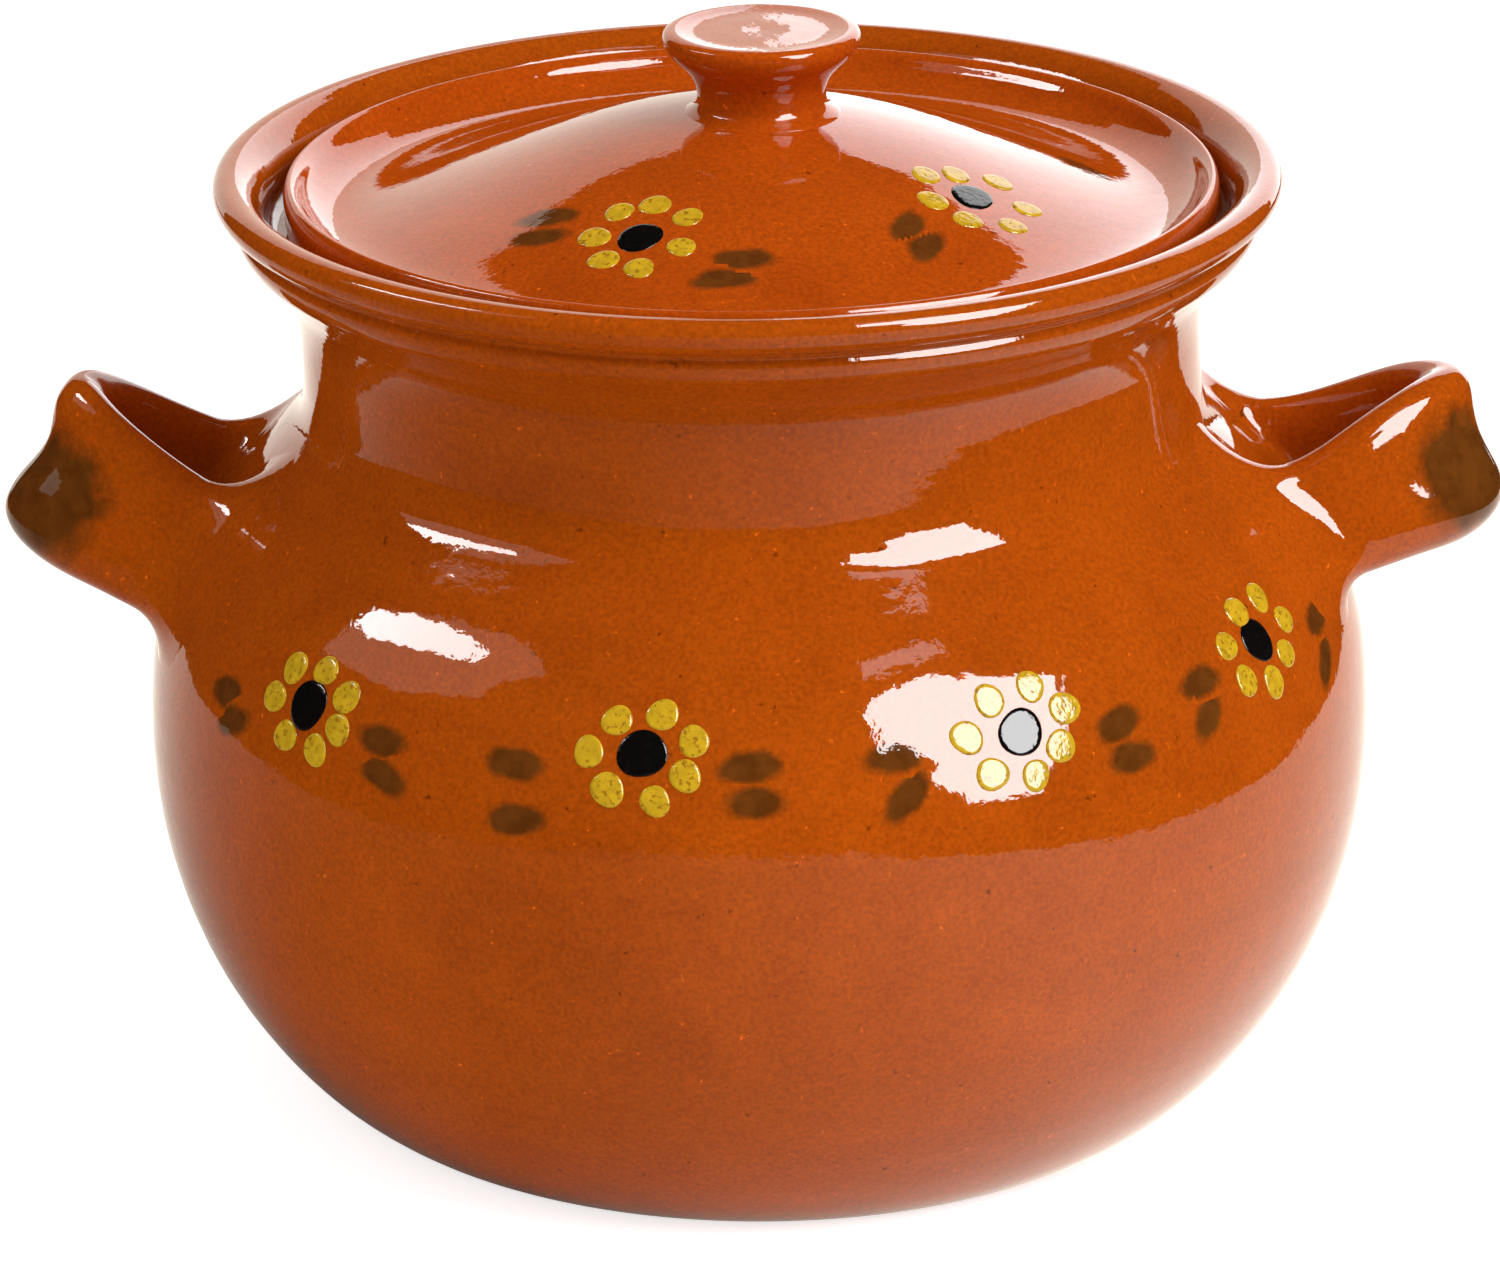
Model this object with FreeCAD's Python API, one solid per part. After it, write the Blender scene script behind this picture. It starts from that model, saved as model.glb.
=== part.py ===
"""Glazed earthenware bean pot: a thrown round-bellied pot with two strap ears and a lift-off lid.

Millimetres, +Z up.  The origin is the centre of the flat foot, on the surface the pot stands on.
The ears lie on the X axis.  Every height is stacked on the one below it, so a change of one size
carries what stands above it, and the lid takes its size and place from the seat it lies in.
Raised slip flowers ring the shoulder and the dome of the lid.
"""
import FreeCAD, Part
import math
import os

V = FreeCAD.Vector

# ---- thrown pot -------------------------------------------------------------------------------
FOOT_R = 83.0             # radius of the belly's oval at the level of the foot
FOOT_EDGE = 2.0           # rounding of the foot's outer edge
BELLY_R = 115.0           # widest radius
BELLY_RISE = 68.0         # foot to the widest circle
BELLY_SINK = 12.0         # how far the belly's oval would run on below the foot
SHOULDER_IN = 9.4         # shoulder point, inward from the widest radius
SHOULDER_RISE = 38.0      # widest circle to the shoulder point
NECK_R = 83.2             # narrowest radius, at the waist of the neck
NECK_ROOT_OUT = 3.3       # root of the neck, outward from the waist
NECK_ROOT_RISE = 22.0     # shoulder point to the root of the neck
NECK_RISE = 11.0          # root of the neck to its waist
WALL = 6.2                # wall of the belly and neck
FLOOR = 7.5               # thickness of the floor
HOLLOW_BEND = 12.0        # height over which the inside wall bends into the floor
OVAL_SPANS = 4            # even spans that draw the belly's lower oval

# ---- rim with its flare, lip and seat ---------------------------------------------------------
FLARE_OUT = 1.0           # where the flare sets in, outward from the neck's waist
FLARE_RISE = 13.5         # waist of the neck up to there
EDGE_OUT = 8.7            # edge between flare and lip, outward from the waist
EDGE_RISE = 23.6          # waist of the neck up to that edge
LIP_OUT = 15.3            # widest circle of the lip, outward from the waist
LIP_RISE = 9.9            # edge of the flare up to the widest circle of the lip
LIP_BACK = 3.5            # middle of the lip's face, inward from the widest circle
LIP_BACK_DROP = 5.2       # widest circle of the lip down to that middle
LIP_CROWN = 3.9           # widest circle of the lip up to its crest
CREST_IN = 3.5            # crest, inward from the widest circle
FUNNEL_DROP = 3.6         # crest down to the top of the seat's wall
SEAT_DEPTH = 10.9         # crest down to the seat
SEAT_WIDTH = 9.0          # width of the ledge that the lid lies on
FLARE_WAY = (1, 1)        # way in which the flare reaches its edge, out and up
THROAT_WAY = (-1, -4)     # way in which the inside leaves the edge of the seat, out and up

# ---- lid --------------------------------------------------------------------------------------
LID_R = 86.0              # radius over the lid's edge
LID_PLAY = 3.0            # gap all round between the lid's edge and the wall of the seat
LID_LIFT = 0.3            # clearance between the lid and its seat
LID_BITE = 1.2            # how far the flat of the lid runs in past the edge of the seat
LID_EDGE_H = 8.6          # height of the upturned edge
LID_EDGE_W = 3.4          # width of its rounded top
LID_EDGE_DRAW = 2.0       # how far the edge draws in towards the seat
LID_WALL = 5.6            # thickness of the lid
CHANNEL_IN = 12.0         # lowest circle of the channel, inward from the lid's edge
CHANNEL_DEPTH = 6.2       # top of the edge down to the channel
DOME_RISE = 18.0          # channel to the top of the dome
HAUNCH_IN = 22.0          # point on the flank of the dome, inward from the channel
HAUNCH_RISE = 6.4         # channel up to that point
EDGE_WAY = (-1, -3)       # way in which the channel leaves the upturned edge, out and up

# ---- knob -------------------------------------------------------------------------------------
KNOB_FOOT_R = 14.8        # radius of the knob where it meets the dome
KNOB_FOOT_DROP = 1.6      # top of the dome down to that meeting
KNOB_BED = 2.8            # how far the knob's clay runs down into the lid before it is trimmed
KNOB_WAIST_R = 11.9       # undercut waist
KNOB_WAIST_RISE = 3.2     # top of the dome to the waist
KNOB_R = 18.2             # widest radius
KNOB_RISE = 14.0          # top of the dome to the widest circle
KNOB_UNDER_IN = 0.9       # underside of the disc, inward from the widest circle
KNOB_DISC = 2.6           # underside of the disc up to the widest circle
KNOB_CREST_IN = 1.3       # crest, inward from the widest circle
KNOB_CROWN = 1.6          # widest circle up to the crest
KNOB_DISH = 0.5           # hollow turned in the top
KNOB_FOOT_WAY = (-1, 1)   # way in which its side leaves the dome, out and up
KNOB_FLARE_WAY = (1, 0.4) # way in which it reaches the underside of the disc
KNOB_RIM_WAY = (0.4, 1)   # way in which the disc's rim starts there
KNOB_CREST_WAY = (-1, 0.2)  # way in which the rim reaches the crest

# ---- ears: a tall strap of clay bent into a loop ------------------------------------------------
EAR_REACH = 18.5          # widest circle of the belly to the strap's middle at the tip
EAR_HALF_GAP = 16.0       # half the distance between the two legs, middle to middle
EAR_TIP_LEN = 19.0        # end of the straight legs out to the tip
EAR_ROOT_SPREAD = 7.0     # how much further apart the roots are, each side
EAR_BED = 3.0             # how far the top of a root starts inside the pot's outer face
EAR_THICK = 6.6           # thickness of the strap
EAR_ROOT_THICK = 11.0     # thickness where it is pressed on to the pot
EAR_TIP_THICK = 9.5       # thickness of the folded tip
EAR_TALL = 28.0           # height of the strap
EAR_TIP_TALL = 33.5       # height of the strap at the tip
EAR_BULGE = 4.0           # outward belly of the tip below its pinch
EAR_BULGE_DROP = 0.35     # middle of that belly below the strap's middle, in half heights
EAR_BULGE_SPREAD = 0.45   # how widely it fades out, in half heights
EAR_LEAN = 7.5            # top of the tip, inward from its middle
EAR_ROOT_RISE = 35.0      # widest circle of the pot up to the middle of a root
EAR_CLIMB = 16.0          # root up to the tip
EAR_UNEVEN = 5.0          # how much higher the right ear was pressed on than the left
EAR_FLATNESS = 0.7        # power that flattens the sides of the strap's oval; 1 is a true oval
EAR_STEP = 30             # angle between the points of that oval and between sections, degrees
LEG_SPANS = 3             # sections along each leg

# ---- raised slip flowers ------------------------------------------------------------------------
BEAD_R = 2.8              # radius of a yellow bead
BEAD_H = 0.7              # how far it stands proud
EYE_R = 4.1               # radius of the black centre
EYE_H = 0.4               # how far it stands proud
SLIP_GAP = 0.05           # clearance that keeps a flat drop off the curve of the clay
RING_R = 9.3              # circle of beads round a centre
BEADS = 7                 # beads round one centre
BELLY_FLOWERS = 4         # flowers on each face of the pot, between the ears
BELLY_STEP = 35.5         # angle between two of them, degrees
BELLY_TURN = 5.6          # how far the band is turned from the middle of each face, degrees
BELLY_FLOWER_RISE = 33.0  # widest circle up to the band of flowers
LID_TURNS = (-114, -32, 90)  # directions of the flowers on the dome, degrees from +X
LID_FLOWER_IN = 26.0      # circle of the lid's flowers, inward from the channel

# ---- heights and radii that follow -------------------------------------------------------------
shoulder_z = BELLY_RISE + SHOULDER_RISE
root_z = shoulder_z + NECK_ROOT_RISE
neck_z = root_z + NECK_RISE
edge_z = neck_z + EDGE_RISE
lip_r = NECK_R + LIP_OUT
lip_z = edge_z + LIP_RISE
crest_z = lip_z + LIP_CROWN
seat_r = LID_R + LID_PLAY
seat_z = crest_z - SEAT_DEPTH
mouth_r = seat_r - SEAT_WIDTH
lid_z = seat_z + LID_LIFT
lid_top_z = lid_z + LID_EDGE_H
channel_r = LID_R - CHANNEL_IN
channel_z = lid_top_z - CHANNEL_DEPTH
haunch_r = channel_r - HAUNCH_IN
dome_z = channel_z + DOME_RISE
knob_z = dome_z + KNOB_RISE

# the belly's lower outline is a quarter oval that ends on the foot's edge
oval_up = BELLY_RISE + BELLY_SINK
oval_out = (BELLY_R - FOOT_R) / (1 - math.sqrt(1 - (BELLY_RISE / oval_up) ** 2))


# ---- drawing helpers ---------------------------------------------------------------------------
def line(start, end):
    """A straight edge between two (radius, height) points of an outline."""
    return Part.LineSegment(V(start[0], 0, start[1]), V(end[0], 0, end[1])).toShape()


def curve(points, start_way=None, end_way=None):
    """A smooth edge through (radius, height) points, paced by the distance between them.

    Given ways, it leaves the first point and arrives at the last one along them.
    """
    places = [V(radius, 0, height) for radius, height in points]
    pace = [0.0]
    for before, after in zip(places, places[1:]):
        pace.append(pace[-1] + (after - before).Length)
    ends = {}
    if start_way and end_way:
        leave, arrive = V(start_way[0], 0, start_way[1]), V(end_way[0], 0, end_way[1])
        ends = {"InitialTangent": leave.normalize(), "FinalTangent": arrive.normalize()}
    spline = Part.BSplineCurve()
    spline.interpolate(Points=places, Parameters=pace, Scale=False, **ends)
    return spline.toShape()


def corner(start, middle, end):
    """A rounded corner: a parabola whose ends both aim at middle."""
    bend = Part.BezierCurve()
    bend.setPoles([V(radius, 0, height) for radius, height in (start, middle, end)])
    return bend.toShape()


def turned(edges):
    """The solid turned about the Z axis from a closed outline of edges."""
    body = Part.Solid(Part.Face(Part.Wire(edges)).revolve(V(0, 0, 0), V(0, 0, 1), 360))
    if body.Volume < 0:
        body.reverse()
    return body


def inset(points, depth):
    """The inner points moved to the left of their run by depth; the two end points fall away."""
    moved = []
    for before, point, after in zip(points, points[1:], points[2:]):
        run, rise = after[0] - before[0], after[1] - before[1]
        length = math.hypot(run, rise)
        moved.append((point[0] - depth * rise / length, point[1] + depth * run / length))
    return moved


# ---- pot body ------------------------------------------------------------------------------------
def oval_point(angle, depth=0.0):
    """A point of the belly's lower oval, angle degrees below its widest circle, depth inside it."""
    turn = math.radians(angle)
    radius = BELLY_R - oval_out + (oval_out - depth) * math.cos(turn)
    return (radius, BELLY_RISE - (oval_up - depth) * math.sin(turn))


foot_angle = math.degrees(math.asin((BELLY_RISE - FOOT_EDGE) / oval_up))
lower_wall = [oval_point(foot_angle * step / OVAL_SPANS) for step in range(OVAL_SPANS, -1, -1)]
shoulder = (BELLY_R - SHOULDER_IN, shoulder_z)
neck_root = (NECK_R + NECK_ROOT_OUT, root_z)
neck = (NECK_R, neck_z)
flare = (NECK_R + FLARE_OUT, neck_z + FLARE_RISE)
edge = (NECK_R + EDGE_OUT, edge_z)
outer_wall = lower_wall + [shoulder, neck_root, neck]


def outer_curve():
    """The pot's outside from the foot's rounding up to the waist of the neck."""
    start, after = lower_wall[0], lower_wall[1]
    return curve(outer_wall, (after[0] - start[0], after[1] - start[1]), (0, 1))


def outer_radius(height):
    """The radius of the pot's outside at a height."""
    level = Part.Line(V(0, 0, height), V(1, 0, height))
    return max(point.X for point in outer_curve().Curve.intersectCC(level))


def foot_corner():
    """The rounding from the flat of the foot up into the belly."""
    foot = lower_wall[0]
    return corner((foot[0] - FOOT_EDGE, 0), (foot[0] - FOOT_EDGE / 2, 0), foot)


def rim_edges():
    """Flare, lip and funnel, from the waist of the neck to the wall of the seat."""
    face = (lip_r - LIP_BACK, lip_z - LIP_BACK_DROP)
    crest = (lip_r - CREST_IN, crest_z)
    funnel = (seat_r, crest_z - FUNNEL_DROP)
    underside = curve([neck, flare, edge], (0, 1), FLARE_WAY)
    return [underside, curve([edge, face, (lip_r, lip_z), crest, funnel])], funnel


def hollow_edges():
    """The inside, from the edge of the seat down the throat and belly to the middle of the floor."""
    low = math.asin((BELLY_RISE - FLOOR - HOLLOW_BEND) / (oval_up - WALL))
    low_angle = math.degrees(low)
    belly = [oval_point(low_angle * step / OVAL_SPANS, WALL) for step in range(OVAL_SPANS + 1)]
    upper = inset(outer_wall[OVAL_SPANS:] + [flare, edge], WALL)
    bend = belly[-1]
    slope = (oval_out - WALL) / (oval_up - WALL) * math.tan(low)
    middle = (bend[0] - HOLLOW_BEND * slope, FLOOR)
    flat = (middle[0] - math.hypot(HOLLOW_BEND, HOLLOW_BEND * slope), FLOOR)
    wall = curve([(mouth_r, seat_z)] + upper[::-1] + belly, THROAT_WAY, (-slope, -1))
    return [wall, corner(bend, middle, flat), line(flat, (0, FLOOR))]


def make_pot():
    """The thrown pot in one piece: foot, belly, neck, rim with its seat, and the hollow."""
    rim, funnel = rim_edges()
    foot = lower_wall[0][0] - FOOT_EDGE
    edges = [line((0, 0), (foot, 0)), foot_corner(), outer_curve()] + rim
    edges += [line(funnel, (seat_r, seat_z)), line((seat_r, seat_z), (mouth_r, seat_z))]
    return turned(edges + hollow_edges() + [line((0, FLOOR), (0, 0))])


def make_core():
    """The pot up to its neck with no hollow: what the ears are pressed on to."""
    foot = lower_wall[0][0] - FOOT_EDGE
    edges = [line((0, 0), (foot, 0)), foot_corner(), outer_curve()]
    edges += [line(neck, (0, neck_z)), line((0, neck_z), (0, 0))]
    return turned(edges)


# ---- lid and knob --------------------------------------------------------------------------------
dome_points = [(0, dome_z), (haunch_r, channel_z + HAUNCH_RISE), (channel_r, channel_z)]
lid_edge_in = (LID_R - LID_EDGE_W, lid_top_z - LID_EDGE_W / 2)
lid_edge_out = (LID_R, lid_top_z - LID_EDGE_W / 2)


def dome_curve():
    """The top of the lid from its edge in across the channel and up to the middle of the dome."""
    return curve([lid_edge_in] + dome_points[::-1], EDGE_WAY, (-1, 0))


def make_lid():
    """Domed lid with a channel and an upturned edge; its flat rim lies on the pot's seat."""
    bearing = (LID_R - LID_EDGE_DRAW, lid_z)
    flat_in = (mouth_r - LID_BITE, lid_z)
    haunch_under = inset(dome_points[::-1], LID_WALL)[0]
    edges = [dome_curve()]
    edges += [corner(lid_edge_in, (LID_R - LID_EDGE_W / 2, lid_top_z + LID_EDGE_W / 2), lid_edge_out)]
    edges += [line(lid_edge_out, bearing), line(bearing, flat_in)]
    channel_under = (channel_r, channel_z - LID_WALL)
    dome_under = (0, dome_z - LID_WALL)
    edges += [corner(flat_in, ((flat_in[0] + channel_r) / 2, channel_under[1]), channel_under)]
    edges += [curve([channel_under, haunch_under, dome_under], (-1, 0), (-1, 0))]
    return turned(edges + [line(dome_under, (0, dome_z))])


def make_knob(lid):
    """Turned knob with an undercut waist, cut to sit on the dome."""
    foot = (KNOB_FOOT_R, dome_z - KNOB_FOOT_DROP)
    waist = (KNOB_WAIST_R, dome_z + KNOB_WAIST_RISE)
    under = (KNOB_R - KNOB_UNDER_IN, knob_z - KNOB_DISC)
    crest = (KNOB_R - KNOB_CREST_IN, knob_z + KNOB_CROWN)
    dish = (0, knob_z + KNOB_CROWN - KNOB_DISH)
    buried = dome_z - KNOB_BED
    side = curve([foot, waist, under], KNOB_FOOT_WAY, KNOB_FLARE_WAY)
    disc = curve([under, (KNOB_R, knob_z), crest], KNOB_RIM_WAY, KNOB_CREST_WAY)
    base = [line(dish, (0, buried)), line((0, buried), (foot[0], buried)), line((foot[0], buried), foot)]
    return turned([side, disc, line(crest, dish)] + base).cut(lid)


# ---- ears ----------------------------------------------------------------------------------------
def strap_section(middle, outward, tall, thick, bulge=0.0, lean=0.0):
    """A closed tall oval in the upright plane through middle and outward.

    Going round it, the height is the cosine of the turn and the side its sine, flattened.
    Bulge pushes the lower half outward, and lean draws the top inward.
    """
    places = []
    for turn in range(0, 360, EAR_STEP):
        high, side = math.cos(math.radians(turn)), math.sin(math.radians(turn))
        flat = math.copysign(abs(side) ** EAR_FLATNESS, side)
        bow = bulge * math.exp(-((high + EAR_BULGE_DROP) / EAR_BULGE_SPREAD) ** 2)
        bow -= lean * max(high, 0) ** 2
        places.append(middle + outward * (thick / 2 * flat + bow) + V(0, 0, tall / 2 * high))
    spline = Part.BSplineCurve()
    spline.interpolate(Points=places, PeriodicFlag=True)
    return Part.Wire([spline.toShape()])


def make_ear(core, lift):
    """The right ear, lift higher than level: a loft through sections from root to tip to root.

    Seen from above the strap's middle is two legs joined by half an oval.
    """
    root_mid = BELLY_RISE + EAR_ROOT_RISE + lift
    root_half = EAR_HALF_GAP + EAR_ROOT_SPREAD
    root_x = math.sqrt((outer_radius(root_mid + EAR_TALL / 2) - EAR_BED) ** 2 - root_half ** 2)
    leg_x = BELLY_R + EAR_REACH - EAR_TIP_LEN
    run = leg_x + EAR_TIP_LEN - root_x
    stations = []
    for angle in range(-90, 91, EAR_STEP):
        turn = math.radians(angle)
        stations.append((leg_x + EAR_TIP_LEN * math.cos(turn), EAR_HALF_GAP * math.sin(turn), turn))
    leg_turn = math.atan2(leg_x - root_x, EAR_ROOT_SPREAD)
    for step in range(1, LEG_SPANS + 1):
        share = step / LEG_SPANS
        x, y = leg_x + (root_x - leg_x) * share, EAR_HALF_GAP + EAR_ROOT_SPREAD * share
        stations = [(x, -y, -leg_turn)] + stations + [(x, y, leg_turn)]
    sections = []
    for x, y, turn in stations:
        out = (x - root_x) / run
        tip = math.cos(turn) ** 2 if abs(y) <= EAR_HALF_GAP else 0.0
        rooted = max(abs(y) - EAR_HALF_GAP, 0) / EAR_ROOT_SPREAD
        tall = EAR_TALL + (EAR_TIP_TALL - EAR_TALL) * tip
        thick = EAR_THICK + (EAR_TIP_THICK - EAR_THICK) * tip + (EAR_ROOT_THICK - EAR_THICK) * rooted
        middle = V(x, y, root_mid + EAR_CLIMB * out)
        outward = V(math.cos(turn), math.sin(turn), 0)
        sections.append(strap_section(middle, outward, tall, thick, EAR_BULGE * tip, EAR_LEAN * tip))
    loop = Part.makeLoft(sections, True, False)
    return loop.cut(core)


# ---- slip flowers --------------------------------------------------------------------------------
def nearest(edge, radius, height):
    """The point of an outline nearest to a (radius, height), with its way along and its normal."""
    spot = edge.Curve.parameter(V(radius, 0, height))
    way = edge.Curve.tangent(spot)[0]
    return edge.Curve.value(spot), way, V(way.z, 0, -way.x)


def drop(edge, radius, height, turn, size, proud):
    """A flat round drop of slip on the turned surface of edge, turn degrees from +X."""
    place, _, normal = nearest(edge, radius, height)
    button = Part.makeCylinder(size, proud - SLIP_GAP, place + normal * SLIP_GAP, normal)
    return button.rotated(V(0, 0, 0), V(0, 0, 1), turn)


def flowers(edge, radius, height, turns):
    """Beads and black centres of equal flowers, one at each of turns round the surface of edge."""
    middle, way, _ = nearest(edge, radius, height)
    beads, eyes = [], []
    for turn in turns:
        eyes.append(drop(edge, radius, height, turn, EYE_R, EYE_H))
        for number in range(BEADS):
            angle = 2 * math.pi * (number + 0.5) / BEADS
            spot = middle + way * (RING_R * math.sin(angle))
            beside = math.degrees(RING_R * math.cos(angle) / spot.x)
            beads.append(drop(edge, spot.x, spot.z, turn + beside, BEAD_R, BEAD_H))
    return Part.makeCompound(beads), Part.makeCompound(eyes)


def belly_flowers():
    """Flowers round the shoulder, evenly spaced between the ears on the front and back faces."""
    first = BELLY_TURN - BELLY_STEP * (BELLY_FLOWERS - 1) / 2
    turns = [face + first + BELLY_STEP * number for face in (-90, 90) for number in range(BELLY_FLOWERS)]
    return flowers(outer_curve(), shoulder[0], BELLY_RISE + BELLY_FLOWER_RISE, turns)


def lid_flowers():
    """Flowers on the dome, dabbed on in a loose ring."""
    return flowers(dome_curve(), channel_r - LID_FLOWER_IN, channel_z + HAUNCH_RISE, LID_TURNS)


# ---- the pieces ----------------------------------------------------------------------------------
def build():
    core = make_core()
    lid = make_lid()
    left_ear = make_ear(core, -EAR_UNEVEN / 2).mirror(V(0, 0, 0), V(1, 0, 0))
    belly_petals, belly_centres = belly_flowers()
    lid_petals, lid_centres = lid_flowers()
    return {
        "pot_body": make_pot(),
        "left_ear": left_ear,
        "right_ear": make_ear(core, EAR_UNEVEN / 2),
        "belly_petals": belly_petals,
        "belly_centres": belly_centres,
        "lid_plate": lid,
        "lid_knob": make_knob(lid),
        "lid_petals": lid_petals,
        "lid_centres": lid_centres,
    }


os.makedirs("parts", exist_ok=True)
for name, shape in build().items():
    shape.exportStep("parts/" + name + ".step")
    print(name, len(shape.Solids), "solids,", round(shape.Volume / 1000, 1), "cm3")
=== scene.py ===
# %% [markdown]
# # A glazed bean pot
# The real thing is a thrown clay pot with two strap ears and a lid, dipped in clear glaze and
# fired. Its shapes come from the wheel, so nearly all of them are an outline turned about an axis.
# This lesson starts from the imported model, which gives the true sizes, and dresses it piece by
# piece with surfaces worked out by numpy. The pot's sizes below are in millimetres, and those of
# the studio about it are in metres.

# %% The frame
import math

import bpy
import numpy as np
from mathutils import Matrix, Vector


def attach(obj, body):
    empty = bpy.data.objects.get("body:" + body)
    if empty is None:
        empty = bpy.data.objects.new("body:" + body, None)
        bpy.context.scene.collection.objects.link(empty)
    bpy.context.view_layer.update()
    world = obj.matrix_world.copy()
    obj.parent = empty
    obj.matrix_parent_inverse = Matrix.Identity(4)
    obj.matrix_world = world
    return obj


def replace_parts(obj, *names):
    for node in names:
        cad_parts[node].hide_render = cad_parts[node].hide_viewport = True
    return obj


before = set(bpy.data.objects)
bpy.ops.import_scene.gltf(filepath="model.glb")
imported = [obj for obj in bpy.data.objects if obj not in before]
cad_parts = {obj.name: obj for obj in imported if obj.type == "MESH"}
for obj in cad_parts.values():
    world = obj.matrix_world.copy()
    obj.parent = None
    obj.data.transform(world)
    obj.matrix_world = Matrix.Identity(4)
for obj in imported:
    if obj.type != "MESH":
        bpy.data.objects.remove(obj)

scene = bpy.context.scene
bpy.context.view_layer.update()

# %% [markdown]
# ## Curves
# A potter's outline is one flowing line. It could be drawn as straight runs and rounded off, but
# glaze would show every change of bend. A cubic spline passes through every point given and its
# bend has no jump, so a glossy surface made from it has no crease in its reflections. Rows of
# points are then laid along it, closer together where it bends.

# %% A curve through points
MM = 0.001


def spline(points):
    """A smooth curve through rows of numbers, as a function of the share of its length.

    Between two rows each column is a cubic whose end slopes are chosen so that the bend agrees on
    both sides of every row. The pace is the distance between the rows.
    """
    points = np.asarray(points, float)
    gap = np.linalg.norm(np.diff(points, axis=0), axis=1)
    knots = np.concatenate([[0.0], np.cumsum(gap)])
    last = len(points) - 1
    inner = np.arange(1, last)
    rise = np.diff(points, axis=0) / gap[:, None]
    system = np.zeros((last + 1, last + 1))
    system[inner, inner - 1] = 1 / gap[:-1]
    system[inner, inner] = 2 / gap[:-1] + 2 / gap[1:]
    system[inner, inner + 1] = 1 / gap[1:]
    system[0, :2] = system[last, [last, last - 1]] = (2, 1)
    target = np.zeros_like(points)
    target[inner] = 3 * (rise[:-1] / gap[:-1, None] + rise[1:] / gap[1:, None])
    target[0], target[last] = 3 * rise[0], 3 * rise[-1]
    slope = np.linalg.solve(system, target)

    def at(share):
        """The curve at shares of its length, as the cubic between the rows on either side."""
        spot = np.asarray(share, float) * knots[-1]
        piece = np.clip(np.searchsorted(knots, spot, side="right") - 1, 0, last - 1)
        span = gap[piece][..., None]
        t = (spot - knots[piece])[..., None] / span
        value = (1 + 2 * t) * (1 - t) ** 2 * points[piece] + t**2 * (3 - 2 * t) * points[piece + 1]
        return value + t * (1 - t) * span * ((1 - t) * slope[piece] - t * slope[piece + 1])

    at.knots = knots / knots[-1]
    return at


def outline(points, rows, bend=14.0):
    """Rows along the smooth curve through the points, closer together where it bends.

    Each small step costs its length in mm plus bend times its turning in radians, and the rows cut
    the sum of the costs into equal shares.
    """
    curve = spline(points)
    share = np.linspace(0, 1, 6000)
    step = np.diff(curve(share), axis=0)
    heading = np.unwrap(np.arctan2(step[:, 1], step[:, 0]))
    cost = np.linalg.norm(step, axis=1) + bend * np.abs(np.gradient(heading))
    total = np.concatenate([[0], np.cumsum(cost)])
    return curve(np.interp(np.linspace(0, total[-1], rows), total, share))


def ramp(value, low, high):
    """A soft step: 0 below low, 1 above high, and three squares less two cubes in between."""
    t = np.clip((value - low) / (high - low), 0, 1)
    return t * t * (3 - 2 * t)


print("an arch through three points, a quarter of the way:", spline([(0, 0), (10, 5), (20, 0)])(0.25))

# %% [markdown]
# ## Meshes
# A shape from the wheel could be made with a Screw modifier. A grid of points worked out here is
# as easy, and it can also be pushed about by formulas before it becomes a mesh, in one call. Where
# a ring shrinks to one point, at a pole, all its corners take the same number, and the triangles
# that vanish are left out.

# %% Meshes from grids
def turn(profile, columns):
    """A grid of points: each (radius, height) row turned into a ring about the upright axis."""
    angle = np.linspace(0, 2 * np.pi, columns, endpoint=False)
    radius, height = profile[:, :1], profile[:, 1:]
    return np.stack(np.broadcast_arrays(radius * np.cos(angle), radius * np.sin(angle), height), -1)


def ring_numbers(rows, columns):
    """Vertex numbers of a grid of closed rings whose first and last rows are poles."""
    number = np.arange(rows * columns).reshape(rows, columns)
    number[0], number[-1] = number[0, 0], number[-1, 0]
    return np.hstack([number, number[:, :1]])


def triangles(number):
    """Two triangles for each cell of a grid of vertex numbers, without those that vanish."""
    a, b, c, d = number[:-1, :-1], number[:-1, 1:], number[1:, 1:], number[1:, :-1]
    faces = np.concatenate([np.stack(p, -1).reshape(-1, 3) for p in ((a, b, c), (a, c, d))])
    first, second, third = faces.T
    return faces[(first != second) & (second != third) & (third != first)]


def piece_of(name, points, faces, body, material):
    """A smooth-shaded object from points in mm and triangles, riding on one body."""
    used, faces = np.unique(faces, return_inverse=True)
    points, faces = points.reshape(-1, 3)[used], faces.reshape(-1, 3)
    mesh = bpy.data.meshes.new(name)
    mesh.vertices.add(len(points))
    mesh.vertices.foreach_set("co", (points * MM).astype(np.float32).ravel())
    mesh.loops.add(faces.size)
    mesh.loops.foreach_set("vertex_index", faces.astype(np.int32).ravel())
    mesh.polygons.add(len(faces))
    mesh.polygons.foreach_set("loop_start", np.arange(0, faces.size, 3, dtype=np.int32))
    mesh.update(calc_edges=True)
    mesh.polygons.foreach_set("use_smooth", np.ones(len(faces), bool))
    mesh.materials.append(material)
    piece = bpy.data.objects.new(name, mesh)
    scene.collection.objects.link(piece)
    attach(piece, body)
    print(f"{name}: {len(points)} points, {len(faces)} triangles")
    return piece


print("triangles between 4 rings of 6, two of them poles:", len(triangles(ring_numbers(4, 6))))

# %% [markdown]
# ## Materials
# Clear glaze is a thin coat of glass over coloured clay. One glossy colour would show its
# highlights but none of its depth. The clay scatters light, so it takes a rough base with little
# shine of its own, and the coat on top gives the sharp reflections.

# %% Material helpers
def new_material(name):
    """An empty node material and its node tree."""
    material = bpy.data.materials.new(name)
    material.use_nodes = True
    material.node_tree.nodes.clear()
    return material, material.node_tree


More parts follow.
